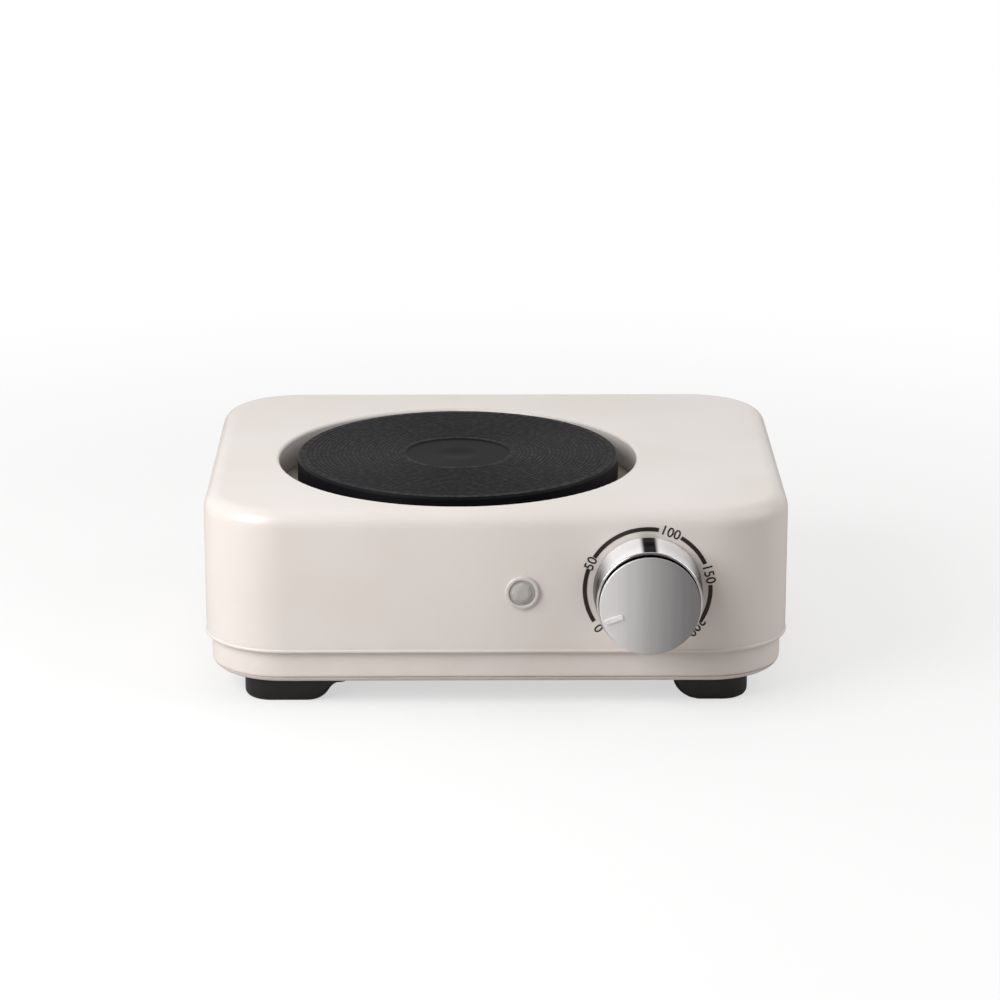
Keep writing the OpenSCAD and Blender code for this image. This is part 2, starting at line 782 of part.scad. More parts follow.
module shaft_bush() {
  color("goldenrod") on_front(knob_x, knob_z) difference() {
    union() {
      translate([0, 0, -bush_in]) cylinder(r = bush_r, h = bush_in + bush_out);
      translate([0, 0, -shell_t - frame_t - 1.5]) cylinder(r = 7.5, h = 1.5);
    }
    translate([0, 0, -bush_in - 1]) cylinder(r = bush_bore_r, h = bush_in + bush_out + 2);
  }
}

module bush_nut() {
  color("silver") on_front(knob_x, knob_z) difference() {
    cylinder(r = 14 / sqrt(3), h = 3, $fn = 6);
    translate([0, 0, -1]) cylinder(r = bush_r + 0.05, h = 5);
  }
}

// Steel plate behind the front wall with one edge folded back as a stiffener
module thermostat_frame() {
  left = -11;
  width = 34;
  half_h = 11;
  color("silver") on_front(knob_x, knob_z) difference() {
    union() {
      translate([left, -half_h, -shell_t - frame_t]) cube([width, 2 * half_h, frame_t]);
      translate([left, -half_h, -14]) cube([width, frame_t, 14 - shell_t]);
    }
    translate([0, 0, -6]) cylinder(r = bush_r + 0.1, h = 8);
    translate([stack_x, 0, -6]) cylinder(r = rivet_r + 0.05, h = 8);
  }
}

// Insulating rings that hold the blades apart, in order from the frame backwards
module ceramic_spacers() {
  color("ivory") on_front(knob_x, knob_z) translate([stack_x, 0, 0])
    for (s = spacer_spans) ring(rivet_r + 0.05, stack_r, -s[1], s[1] - s[0]);
}

// Flat spring blade, u deep behind the front face, from one end to its terminal tab
module blade(u, t, tip_x, tab_x) {
  difference() {
    translate([tip_x, -blade_w / 2, -u - t]) cube([tab_x - tip_x, blade_w, t]);
    translate([stack_x, 0, -u - t - 1]) cylinder(r = rivet_r + 0.05, h = t + 2);
  }
}

module control_blade() {
  color("darkorange") on_front(knob_x, knob_z) blade(control_u, blade_t, -8, 32);
}

module contact_blade() {
  color("darkorange") on_front(knob_x, knob_z) blade(contact_u, blade_t, -8, 30);
}

module bimetal_strip() {
  color("slategray") on_front(knob_x, knob_z) blade(bimetal_u, bimetal_t, -10, 26);
}

// Silver contacts that face each other, open in the off position
module contact_points() {
  color("white") on_front(knob_x, knob_z) translate([-5, 0, 0]) {
    translate([0, 0, -control_u - blade_t - 0.8]) cylinder(r = 2, h = 0.8);
    translate([0, 0, -contact_u]) cylinder(r = 2, h = 1);
  }
}

module stack_rivet() {
  color("silver") on_front(knob_x, knob_z) translate([stack_x, 0, 0]) {
    translate([0, 0, -stack_end_u]) cylinder(r = rivet_r, h = stack_end_u - shell_t - 0.1);
    translate([0, 0, -stack_end_u - 1.5]) cylinder(r = 3.2, h = 1.5);
  }
}

// ---- Indicator lamp ----

module indicator_bezel() {
  color("lightgray") on_front(lamp_x, lamp_z) rotate_extrude()
    polygon([[4.7, 0], [lamp_r, 0], [lamp_r, 0.7], [lamp_r - 0.6, 1.3], [4.9, 1.3], [4.7, 1.1]]);
}

// Clear lens: a barrel through the wall, hollow for the bulb, with a low front facet
module indicator_lens() {
  color([0.85, 0.85, 0.85, 0.5]) on_front(lamp_x, lamp_z) rotate_extrude() polygon([
    [0, 2], [2.4, 2], [4.2, 1.3], [4.65, 0.6], [4.65, 0], [4.5, 0], [4.5, -8], [3.2, -8],
    [3.2, -0.4], [0, -0.4]]);
}

module neon_bulb() {
  color("mistyrose") on_front(lamp_x, lamp_z) {
    translate([0, 0, -10]) cylinder(r = 2.8, h = 6);
    translate([0, 0, -4]) cylinder(r1 = 2.8, r2 = 0.6, h = 2.6);
    for (s = [-1, 1]) translate([s * lamp_lead_x, 0, -12]) cylinder(r = 0.35, h = 2.2);
  }
}

module lamp_resistor() {
  color("burlywood") on_front(lamp_x, lamp_z) translate([lamp_lead_x, 0, 0]) {
    translate([0, 0, -21]) cylinder(r = 1.2, h = 7);
    translate([0, 0, -24]) cylinder(r = 0.35, h = 11.9);
  }
}

module lamp_clip() {
  color("silver") on_front(lamp_x, lamp_z) ring(4.55, 8.5, -shell_t - 0.8, 0.8);
}

// ---- Mains connections ----

module mains_terminal_block() {
  floor_z = tray_z + tray_t;
  color("ivory") translate([mains_x, mains_y, 0]) difference() {
    translate([-mains_w / 2, -mains_depth / 2, floor_z]) cube([mains_w, mains_depth, mains_h]);
    for (x = mains_ways) {
      along_depth(x, -mains_depth / 2 - 1, mains_hole_z) cylinder(r = 1.8, h = mains_depth + 2);
      translate([x, 0, mains_hole_z]) cylinder(r = 1.85, h = mains_h);
    }
  }
}

module terminal_screws() {
  bottom = mains_hole_z + 2.1;
  top = tray_z + tray_t + mains_h - 0.5;
  color("silver") translate([mains_x, mains_y, 0]) for (x = mains_ways) difference() {
    translate([x, 0, bottom]) cylinder(r = 1.8, h = top - bottom);
    translate([x - 2, -0.3, top - 0.8]) cube([4, 0.6, 1]);
  }
}

// Tag under the crossbar, bent down to take the earth wire
module earth_tab() {
  tag_z = bar_z - 1.2;
  color("gold") at_plate() difference() {
    union() {
      translate([38, -4, tag_z]) cube([13.2, 8, 1.2]);
      translate([50, -4, tag_z - 9]) cube([1.2, 8, 9.6]);
    }
    translate([44, 0, tag_z - 1]) cylinder(r = 2.1, h = 4);
  }
}

module earth_screw() {
  color("silver") at_plate() translate([44, 0, 0]) screw(bar_z - 3.6, 4.4, 2, 3.5, 2.4);
}

module live_wire() { color("saddlebrown") wire(live_route, power_wire_r); }
module switched_wire() { color("black") wire(switched_route, power_wire_r); }
module fuse_wire() { color("black") wire(fuse_route, power_wire_r); }
module neutral_wire() { color("royalblue") wire(neutral_route, power_wire_r); }
module earth_wire() { color("yellowgreen") wire(earth_route, power_wire_r); }
module lamp_wires() {
  color("lightgray") wire(lamp_feed_route, lamp_wire_r);
  color("lightgray") wire(lamp_return_route, lamp_wire_r);
}

placed() upper_housing();
placed() bottom_tray();
placed() corner_posts();
placed() tray_screws();
for (i = [0 : 3])
  placed() foot(i % 2 == 0 ? -1 : 1, i < 2 ? -1 : 1);
placed() foot_screws();
placed() cord_gland();
placed() dial_print();
placed() hot_plate();
placed() heating_coil();
placed() insulation_pad();
placed() plate_cover();
placed() plate_stud();
placed() plate_spacer();
placed() heat_shield();
placed() crossbar();
placed() stud_washer();
placed() stud_nut();
placed() coil_terminal_block();
placed() coil_terminal_pins();
placed() pin_connectors();
placed() thermal_fuse();
placed() fuse_clip();
placed() knob_skirt();
placed() knob_collar();
placed() knob_cap();
placed() knob_pointer();
placed() knob_clip();
placed() thermostat_shaft();
placed() shaft_clip();
placed() adjuster_pin();
placed() shaft_bush();
placed() bush_nut();
placed() thermostat_frame();
placed() ceramic_spacers();
placed() control_blade();
placed() contact_blade();
placed() bimetal_strip();
placed() contact_points();
placed() stack_rivet();
placed() indicator_bezel();
placed() indicator_lens();
placed() neon_bulb();
placed() lamp_resistor();
placed() lamp_clip();
placed() mains_terminal_block();
placed() terminal_screws();
placed() earth_tab();
placed() earth_screw();
placed() live_wire();
placed() switched_wire();
placed() fuse_wire();
placed() neutral_wire();
placed() earth_wire();
placed() lamp_wires();
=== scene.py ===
# %% [markdown]
# # A small electric hot plate, finished in Blender
#
# The object is one black cast-iron plate in a cream pressed-steel housing. A chrome knob on the
# front turns a thermostat, and a clear indicator sits beside it. The working model arrives as a
# fixed frame that already settles every size, place and joint, in metres. This script gives each
# piece its finish. It remakes only the pieces whose fine shape the working model leaves plain:
# the grooved plate, the knob, the faceted lens, the rubber feet, the gland and the dial's numbers.
# It could remake everything, but a piece that is already right is better left alone.

import json
import math

import bmesh
import bpy
from mathutils import Matrix, Vector


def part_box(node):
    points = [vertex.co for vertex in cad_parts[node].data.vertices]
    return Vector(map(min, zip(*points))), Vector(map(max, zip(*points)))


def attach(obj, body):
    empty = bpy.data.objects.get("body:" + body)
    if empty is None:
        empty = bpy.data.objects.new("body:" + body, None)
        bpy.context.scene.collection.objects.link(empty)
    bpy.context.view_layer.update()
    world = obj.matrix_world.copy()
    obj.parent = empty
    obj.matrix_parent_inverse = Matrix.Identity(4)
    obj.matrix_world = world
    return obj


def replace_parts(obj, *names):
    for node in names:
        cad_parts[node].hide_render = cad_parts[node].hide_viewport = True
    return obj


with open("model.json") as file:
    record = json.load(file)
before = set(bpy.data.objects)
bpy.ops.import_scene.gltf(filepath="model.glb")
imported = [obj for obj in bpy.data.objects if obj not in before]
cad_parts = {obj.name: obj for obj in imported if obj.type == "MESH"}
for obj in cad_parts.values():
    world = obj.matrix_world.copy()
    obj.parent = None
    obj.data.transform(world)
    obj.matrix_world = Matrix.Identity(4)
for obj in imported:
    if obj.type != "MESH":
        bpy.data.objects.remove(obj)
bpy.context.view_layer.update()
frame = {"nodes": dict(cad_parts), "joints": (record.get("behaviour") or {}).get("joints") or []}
nodes = frame["nodes"]
mm = 0.001


# %% [markdown]
# ## The camera
#
# A product picture is taken with a long lens from well back, so that the box keeps nearly
# parallel edges. The camera could be placed by typing in a position, but a direction, a distance
# and a point to look at are easier to think about, and they follow the housing if it changes.

# %% The camera
housing_low, housing_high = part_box("upper_housing")
housing_mid = (housing_low + housing_high) / 2


def bearing(azimuth, elevation):
    """Unit vector away from the object: azimuth 0 is its front, 90 its right and -90 its left."""
    a = math.radians(azimuth)
    e = math.radians(elevation)
    return Vector((math.sin(a) * math.cos(e), -math.cos(a) * math.cos(e), math.sin(e)))


camera_bearing = bearing(-0.42, 16.52)
camera_distance = 1.365
camera_aim = Vector((housing_mid.x + 1.86 * mm, housing_mid.y, 53.5 * mm))
camera = bpy.data.objects.new("camera", bpy.data.cameras.new("camera"))
camera.data.sensor_width = 36
camera.data.lens = 129.7
camera.location = camera_aim + camera_bearing * camera_distance
camera.rotation_euler = camera_bearing.to_track_quat("Z", "Y").to_euler()
bpy.context.scene.collection.objects.link(camera)
bpy.context.scene.camera = camera
print("the camera stands", round(camera.location.z, 3), "m above the table")

# %% [markdown]
# ## Sums on sockets
#
# A shader is a chain of nodes, and a chain is hard to read once it is more than a few nodes long.
# The nodes could be made one by one and wired by hand. Here a small class wraps a node's output,
# so that `1 - mask * 0.3` in Python adds the Math nodes by itself. Every other kind of node comes
# from one method, which takes the node's type, its settings and what goes into its sockets.

# %% Sums on sockets


class Value:
    """A node's output that can be used in plain arithmetic."""

    def __init__(self, finish, socket):
        self.finish = finish
        self.socket = socket

    def sum(self, operation, first, second=0.0):
        return self.finish.node("Math", {"operation": operation}, {0: first, 1: second})

    def __add__(self, other):
        return self.sum("ADD", self, other)

    __radd__ = __add__

    def __sub__(self, other):
        return self.sum("SUBTRACT", self, other)

    def __rsub__(self, other):
        return self.sum("SUBTRACT", other, self)

    def __mul__(self, other):
        return self.sum("MULTIPLY", self, other)

    __rmul__ = __mul__

    def __truediv__(self, other):
        return self.sum("DIVIDE", self, other)

    def __rtruediv__(self, other):
        return self.sum("DIVIDE", other, self)

    def __pow__(self, other):
        return self.sum("POWER", self, other)

    def __abs__(self):
        return self.sum("ABSOLUTE", self)


class Finish:
    """The node tree of one material, emptied and ready to be built up again."""

    def __init__(self, slot):
        self.slot = slot
        self.material = bpy.data.materials.get(slot) or bpy.data.materials.new(slot)
        self.material.use_nodes = True
        self.tree = self.material.node_tree
        self.tree.nodes.clear()
        self.place = self.node("TexCoord", out="Object")

    def node(self, kind, settings=None, sockets=None, out=0):
        """Add one node: its settings first, then a plain value or a link for each socket."""
        made = self.tree.nodes.new("ShaderNode" + kind)
        for name, setting in (settings or {}).items():
            if name == "stops":
                self.set_stops(made.color_ramp.elements, setting)
            else:
                setattr(made, name, setting)
        for key, content in (sockets or {}).items():
            if isinstance(content, Value):
                self.tree.links.new(content.socket, made.inputs[key])
            else:
                made.inputs[key].default_value = content
        return Value(self, made.outputs[out]) if made.outputs else None

    def set_stops(self, elements, stops):
        """Give a colour ramp these (position, colour) stops."""
        while len(elements) < len(stops):
            elements.new(1.0)
        for element, (position, colour) in zip(elements, stops):
            element.position = position
            element.color = colour

    def lumps(self, size, detail=3.0, place=None):
        """Soft random lumps about this many metres across, mostly between 0.3 and 0.7."""
        where = place or self.place
        return self.node("TexNoise", None, {"Vector": where, "Scale": 1 / size, "Detail": detail})

    def fade(self, value, start, end, low=0.0, high=1.0):
        """A smooth ramp from low to high as a value goes from start to end."""
        settings = {"interpolation_type": "SMOOTHSTEP"}
        return self.node("MapRange", settings, {0: value, 1: start, 2: end, 3: low, 4: high})

    def blend(self, mask, first, second):
        """The first colour where the mask is 0 and the second where it is 1."""
        return self.node("Mix", {"data_type": "RGBA"}, {0: mask, 6: first, 7: second}, out=2)

    def moved(self, shift=(0, 0, 0), turn=(0, 0, 0), scale=(1, 1, 1)):
        """The place on the object, shifted, turned and stretched."""
        sockets = {"Vector": self.place, "Location": shift, "Rotation": turn, "Scale": scale}
        return self.node("Mapping", {"vector_type": "POINT"}, sockets)

    def axis(self, letter, place=None):
        """One coordinate of a place."""
        return self.node("SeparateXYZ", None, {0: place or self.place}, out=letter)

    def bump(self, height, depth, under=None):
        """A surface normal disturbed by a height from 0 to 1 that stands for depth metres."""
        sockets = {"Height": height, "Distance": depth, "Strength": 1.0}
        if under:
            sockets["Normal"] = under
        return self.node("Bump", None, sockets)

    def close(self, **sockets):
        """End in a Principled shader; a socket's name has _ for each space."""
        named = {key.replace("_", " "): content for key, content in sockets.items()}
        shader = self.node("BsdfPrincipled", None, named)
        self.node("OutputMaterial", None, {"Surface": shader})
        return self.material


def srgb(red, green, blue):
    """A colour as a screen names it, 0 to 255, turned into the linear light that shaders use."""
    return tuple((max(c, 0) / 255) ** 2.2 for c in (red, green, blue)) + (1.0,)


print("the sum helpers are ready")

# %% [markdown]
# ## Floor and light
#
# The set is a plain pale table top under soft studio light. One large soft box stands close by on
# the left, so that the left side of the housing is the brightest and the light falls off towards
# the right. A weak box fills the right side, and a glow that is strongest behind and above lights
# the top. The front stays a tone darker, which is what shows the form. The main box could be a
# sun, but only a large source close by gives these soft edges. A pale floor throws so much light
# back up that a front face would go flat, so for the object the floor counts as a mid grey one,
# and the camera sees it as white paper with a soft shadow.

# %% Floor and light
floor_size = 12
glow_front = 0.03
glow_back = 0.88
white_seen = 1.0
shadow_lift = 0.6
near_r = 0.12
far_r = 0.6


def world_node(tree, kind, links=None, values=None):
    """Add a node to the world's tree, with its links and its plain values."""
    made = tree.nodes.new("ShaderNode" + kind)
    for key, value in (values or {}).items():
        made.inputs[key].default_value = value
    for key, socket in (links or {}).items():
        tree.links.new(socket, made.inputs[key])
    return made


def build_sky():
    """A glow that is strongest behind; the camera sees it as one plain pale tone."""
    world = bpy.data.worlds.new("studio")
    bpy.context.scene.world = world
    world.use_nodes = True
    tree = world.node_tree
    tree.nodes.clear()
    way = world_node(tree, "TexCoord")
    split = world_node(tree, "SeparateXYZ", {0: way.outputs["Generated"]})
    ends = {"From Min": -1, "To Min": glow_front, "To Max": glow_back}
    depth = world_node(tree, "MapRange", {"Value": split.outputs["Y"]}, ends)
    warm = {"Color": (1.0, 0.985, 0.97, 1)}
    lit = world_node(tree, "Background", {"Strength": depth.outputs[0]}, warm)
    pale = {"Color": (white_seen, white_seen, white_seen, 1)}
    seen = world_node(tree, "Background", None, pale)
    path = world_node(tree, "LightPath")
    choice = {0: path.outputs["Is Camera Ray"], 1: lit.outputs[0], 2: seen.outputs[0]}
    mixed = world_node(tree, "MixShader", choice)
    world_node(tree, "OutputWorld", {"Surface": mixed.outputs[0]})


def soft_box(name, azimuth, elevation, distance, side, power, colour):
    """A square soft light that faces the middle of the housing and is never seen itself."""
    light = bpy.data.lights.new(name, "AREA")
    light.size = side
    light.energy = power
    light.color = colour
    lamp = bpy.data.objects.new(name, light)
    lamp.location = housing_mid + bearing(azimuth, elevation) * distance
    lamp.rotation_euler = bearing(azimuth, elevation).to_track_quat("Z", "Y").to_euler()
    lamp.visible_camera = False
    bpy.context.scene.collection.objects.link(lamp)


def floor_paper():
    """White paper for the camera, a warm mid grey for every other ray."""
    paper = Finish("floor_paper")
    fibre = paper.lumps(0.4)
    tone = paper.blend(fibre, (0.92, 0.92, 0.92, 1), (0.94, 0.94, 0.94, 1))
    white = paper.node("BsdfDiffuse", None, {"Color": tone})
    glow = paper.node("Emission", None, {"Color": (white_seen, white_seen, white_seen, 1)})
    away = paper.node("VectorMath", {"operation": "LENGTH"}, {0: paper.place}, out="Value")
    far = paper.fade(away, near_r, far_r, shadow_lift, 1.0)
    seen = paper.node("MixShader", None, {0: far, 1: white, 2: glow})
    grey = paper.node("BsdfDiffuse", None, {"Color": (0.60, 0.575, 0.56, 1)})
    camera_ray = paper.node("LightPath", out="Is Camera Ray")
    both = paper.node("MixShader", None, {0: camera_ray, 1: grey, 2: seen})
    paper.node("OutputMaterial", None, {"Surface": both})
    return paper.material


def build_floor():
    """A sheet wide enough to reach the horizon in every view."""
    mesh = bpy.data.meshes.new("floor")
    half = floor_size / 2
    corners = [(-half, -half, 0), (half, -half, 0), (half, half, 0), (-half, half, 0)]
    mesh.from_pydata(corners, [], [(0, 1, 2, 3)])
    floor = bpy.data.objects.new("floor", mesh)
    bpy.context.scene.collection.objects.link(floor)
    mesh.materials.append(floor_paper())


build_sky()
build_floor()
soft_box("key_box", -50, 31, 0.75, 0.5, 4.6, (1.0, 1.0, 1.0))
soft_box("fill_box", 78, 34, 1.2, 0.9, 4.0, (1.0, 1.0, 1.0))
bpy.context.scene.view_settings.view_transform = "Standard"
print("the floor is", floor_size, "m wide")

# %% [markdown]
# ## Cream paint on the housing
#
# The pressed steel is sprayed with a satin enamel and baked. Sprayed enamel is never quite flat:
# it keeps a faint orange peel about a millimetre across, its colour drifts a little over a hand's
# width, and handling leaves the sheen uneven. It could be one flat colour with a gloss value, but
# then the soft edges would look like plastic. Peel and drift are noise of two very different
# sizes, and the peel goes only to the bump and the roughness.

# %% Cream paint on the housing
cream = srgb(232, 226, 221)
cream_deep = srgb(228, 220, 214)


def shell_paint():
    """Satin enamel with orange peel, a slow drift of colour, and a darker, duller band at the lower
    hem.
    """
    paint = Finish("shell_paint")
    drift = paint.lumps(60 * mm, 2)
    peel = paint.lumps(1.1 * mm, 2)
    specks = paint.fade(paint.lumps(0.5 * mm, 1), 0.70, 0.78)
    hem_z = housing_low.z
    # Darker and duller in soft patches over the last few millimetres above the lower hem.
    hem_darkening = paint.fade(paint.axis("Z"), hem_z + 4 * mm, hem_z, 0, 0.25) * paint.lumps(9 * mm)
    tone = paint.blend(paint.fade(drift, 0.3, 0.7), cream, cream_deep)
    tone = paint.blend(hem_darkening + specks * 0.08, tone, srgb(196, 184, 172))
    rough = 0.30 + drift * 0.08 + peel * 0.05 + hem_darkening * 0.3
    return paint.close(
        Base_Color=tone,
        Roughness=rough,
        Normal=paint.bump(peel, 0.012 * mm),
        Coat_Weight=0.25,
        Coat_Roughness=0.12,
    )


shell_paint()
print("the housing wears", nodes["upper_housing"].data.materials[0].name)

# %% [markdown]
# ## Moulded plastic and rubber
#
# The tray is moulded in the same cream, but its surface copies the mould's fine spark-eroded
# grain, so it is duller than the paint. The feet and the gland are rubber: nearly black, with a
# soft grey bloom where it has been handled. One function could serve all of them, and it does:
# what differs is the colours, the grain's size and depth, and how dull the surface is.

# %% Moulded plastic and rubber


def moulded(slot, tone, worn, dull, grain, depth, specular=0.5):
    """A moulded finish: a grain of this size and depth, and a worn tone in soft patches."""
    stuff = Finish(slot)
    patches = stuff.fade(stuff.lumps(14 * mm, 4), 0.42, 0.68)
    pits = stuff.lumps(grain, 2)
    return stuff.close(
        Base_Color=stuff.blend(patches * 0.6, tone, worn),
        Roughness=dull - patches * 0.06 + pits * 0.12,
        Normal=stuff.bump(pits, depth),
        Specular_IOR_Level=specular,
    )


moulded("tray_plastic", srgb(231, 223, 218), srgb(226, 217, 210), 0.42, 0.35 * mm, 0.012 * mm)
moulded("foot_rubber", srgb(8, 8, 9), srgb(16, 16, 17), 0.42, 0.5 * mm, 0.01 * mm, specular=0.6)
moulded("gland_rubber", srgb(24, 24, 25), srgb(38, 38, 39), 0.5, 0.5 * mm, 0.02 * mm)
moulded("knob_black", srgb(10, 10, 11), srgb(18, 18, 19), 0.22, 0.8 * mm, 0.004 * mm)
moulded("bezel_grey", srgb(214, 209, 205), srgb(202, 197, 193), 0.25, 0.6 * mm, 0.004 * mm)
moulded("dial_ink", srgb(34, 24, 19), srgb(52, 42, 36), 0.5, 0.3 * mm, 0.01 * mm)
print("rubber and plastic are ready")

# %% [markdown]
# ## Cast iron
#
# The plate is grey iron with a baked black coating. Turning leaves concentric grooves, which are
# real geometry further down. What the material adds is the casting's pebbled skin, faint brown
# and grey from heating, crests rubbed a little brighter than the valleys, and a rim bevel that
# is handled smoother than the face. Wear needs a distance from the plate's middle, so the place
# is moved to the plate's centre and its length in plan is taken.

# %% Cast iron
plate_low, plate_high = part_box("hot_plate")
plate_mid = (plate_low + plate_high) / 2
plate_r = (plate_high.x - plate_low.x) / 2
rim_bevel = 0.8 * mm


def plate_iron():
    """Blackened iron: pebbled skin, heat stains and a rubbed rim."""
    iron = Finish("plate_iron")
    local = iron.moved(shift=(-plate_mid.x, -plate_mid.y, -plate_high.z))
    flat = iron.node("VectorMath", {"operation": "MULTIPLY"}, {0: local, 1: (1, 1, 0)})
    radius = iron.node("VectorMath", {"operation": "LENGTH"}, {0: flat}, out="Value")
    depth = iron.axis("Z", local) * -1
    pebble = iron.lumps(0.7 * mm, 4)
    stain = iron.fade(iron.lumps(26 * mm, 4), 0.40, 0.66)
    crest = iron.fade(depth, 0.14 * mm, 0.0)
    rub = iron.fade(iron.lumps(2.2 * mm, 5), 0.42, 0.62)
    at_rim = iron.fade(radius, plate_r - 1.0 * mm, plate_r - 0.6 * mm)
    tone = iron.blend(stain, srgb(18, 18, 22), srgb(25, 24, 26))
    tone = iron.blend(crest * rub * 0.3, tone, srgb(42, 42, 47))
    return iron.close(
        Base_Color=tone,
        Roughness=0.54 + pebble * 0.12 - crest * rub * 0.1 - at_rim * 0.12,
        Normal=iron.bump(pebble, 0.02 * mm),
        Specular_IOR_Level=0.12,
    )


plate_iron()
print("the plate is", round(2 * plate_r / mm), "mm across")

# %% [markdown]
# ## Bare and plated metals
#
# Everything that clamps, conducts or springs is a thin metal part: zinc-plated steel, blackened
# screws, aluminised sheet, brass, copper alloy, the resistance wire. They share one recipe. A
# metal takes its look from its tint and from how evenly it is polished, so the recipe mixes two
# tints in crystal-like patches and lets fine rolling lines disturb the roughness.

# %% Bare and plated metals


def metal(slot, bright, stained, polish, patch=5 * mm, lines=0.15 * mm, mirror=1.0):
    """Rolled or plated metal: two tints in patches, and fine lines along its length."""
    sheet = Finish(slot)
    cells = sheet.node("TexVoronoi", None, {"Vector": sheet.place, "Scale": 1 / patch}, out="Color")
    spangle = sheet.node("SeparateColor", None, {0: cells})
    stain = sheet.fade(sheet.lumps(patch * 2, 4), 0.42, 0.66)
    rolled = sheet.lumps(lines, 2, sheet.moved(scale=(0.05, 1, 1)))
    return sheet.close(
        Base_Color=sheet.blend(stain * 0.7 + spangle * 0.15, bright, stained),
        Metallic=mirror,
        Roughness=polish + spangle * 0.08 + rolled * 0.12,
        Normal=sheet.bump(rolled, 0.003 * mm),
    )


metal("zinc_steel", srgb(206, 209, 212), srgb(178, 180, 178), 0.28)
metal("dark_screw", srgb(70, 70, 74), srgb(52, 50, 50), 0.32, patch=2 * mm)
metal("shield_steel", srgb(176, 168, 160), srgb(146, 134, 124), 0.42, patch=8 * mm)
metal("brass", srgb(222, 190, 118), srgb(186, 150, 88), 0.26, patch=3 * mm)
metal("blade_copper", srgb(214, 152, 106), srgb(176, 116, 80), 0.3, patch=3 * mm)
metal("coil_alloy", srgb(120, 112, 106), srgb(86, 76, 70), 0.5, patch=2 * mm)
# The pointer is near-white with only a quarter of a mirror: a painted highlight that keeps the bar
# bright.
metal("pointer_chrome", srgb(252, 252, 252), srgb(240, 240, 241), 0.16, patch=3 * mm, mirror=0.25)
print("the metals are ready")

# %% [markdown]
# ## The knob's chrome and brushed face
#
# The skirt is spun and chrome plated. Its reflections are painted into its colour as bands that
# run from its base to its rim: a black one between two white ones, at the top and again opposite,
# with dark sides between; only a thin band at the rim is left as plain mirror chrome. The face is a
# disc of brushed aluminium: the brush ran straight up and down, and a painted sheen slides from
# light on the left to dark on the right across it. Both need coordinates measured from the knob's
# own axis, so they turn with the knob. The bands could be left to the real reflections alone, but
# in soft, even light there is little to reflect, so painted reflections stand in for them.

# %% The knob's chrome and brushed face
knob_joint = next(joint for joint in frame["joints"] if joint["name"] == "knob_turn")
knob_axis = Vector(knob_joint["pos_m"])
cap_low, cap_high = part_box("knob_cap")
cap_r = (cap_high.x - cap_low.x) / 2
skirt_low, skirt_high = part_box("knob_skirt")
rim_out = knob_axis.y - skirt_low.y
rim_band = (rim_out - 0.7 * mm, rim_out - 0.4 * mm)


def knob_chrome():
    """Painted reflections on spun chrome: black between white at top and bottom, and dark sides."""
    chrome = Finish("knob_chrome")
    local = chrome.moved(shift=-knob_axis)
    up = chrome.axis("Z", local)
    angle = chrome.node("Math", {"operation": "ARCTAN2"}, {0: chrome.axis("X", local), 1: up})
    from_top = math.pi / 2 - abs(abs(angle) - math.pi / 2)
    # middle and side mark painted reflections: a black band at top and bottom, and dark flanks.
    middle = chrome.fade(from_top, 0.19, 0.09)
    side = chrome.fade(from_top, 0.70, 1.30)
    front = chrome.fade(chrome.axis("Y", local), -rim_band[0], -rim_band[1])
    spun = chrome.lumps(0.3 * mm, 2, chrome.moved(scale=(0.02, 1, 0.02)))
    painted_reflection_streaks = chrome.blend(side, srgb(252, 252, 253), srgb(48, 48, 50))
    painted_reflection_streaks = chrome.blend(middle, painted_reflection_streaks, srgb(4, 4, 5))
    # A low mirror share lets the painted white and dark tones show as plain colour.
    mirror = (1 - middle * 0.9) * (0.30 + side * 0.25)
    return chrome.close(
        Base_Color=chrome.blend(front, painted_reflection_streaks, srgb(214, 214, 216)),
        Metallic=mirror + front * (1 - mirror),
        Roughness=0.20 + spun * 0.08 - front * 0.08,
        Specular_IOR_Level=0.03,
        Normal=chrome.bump(spun, 0.0006 * mm),
    )


def cap_alloy():
    """Brushed aluminium, finely scratched, with a painted sheen: light on the left, dark on the right.
    """
    alloy = Finish("cap_alloy")
    local = alloy.moved(shift=-knob_axis)
    # A painted sheen: the disc's colour goes from light on its left to dark on its right.
    share = alloy.fade(alloy.axis("X", local), -cap_r, cap_r)
    brushed = alloy.lumps(0.22 * mm, 3, alloy.moved(scale=(1, 1, 0.012)))
    wide = alloy.lumps(1.6 * mm, 2, alloy.moved(scale=(1, 1, 0.01)))
    painted_sheen_and_brush = share + (brushed - 0.5) * 0.08 + (wide - 0.5) * 0.10
    stops = [(0.0, srgb(240, 240, 241)), (0.5, srgb(184, 184, 185)), (1.0, srgb(128, 128, 129))]
    return alloy.close(
        Base_Color=alloy.node("ValToRGB", {"stops": stops}, {0: painted_sheen_and_brush}),
        Metallic=0.4,
        Roughness=0.26 + brushed * 0.16,
        Normal=alloy.bump(brushed, 0.002 * mm),
    )


knob_chrome()
cap_alloy()
print("the knob's axis meets the front face at", [round(c, 4) for c in knob_axis])

# %% [markdown]
# ## Ceramic, glass and lamp
#
# The terminal blocks, spacers and insulation are off-white ceramic, dry and slightly speckled.
# The neon bulb is clear, and the lens is milky, so that it spreads the bulb's glow. Plastic gets
# its look from thickness and facets, so the material stays simple: a share of light goes through,
# and the rest meets a pale haze that varies in the moulding.

# %% Ceramic, glass and lamp


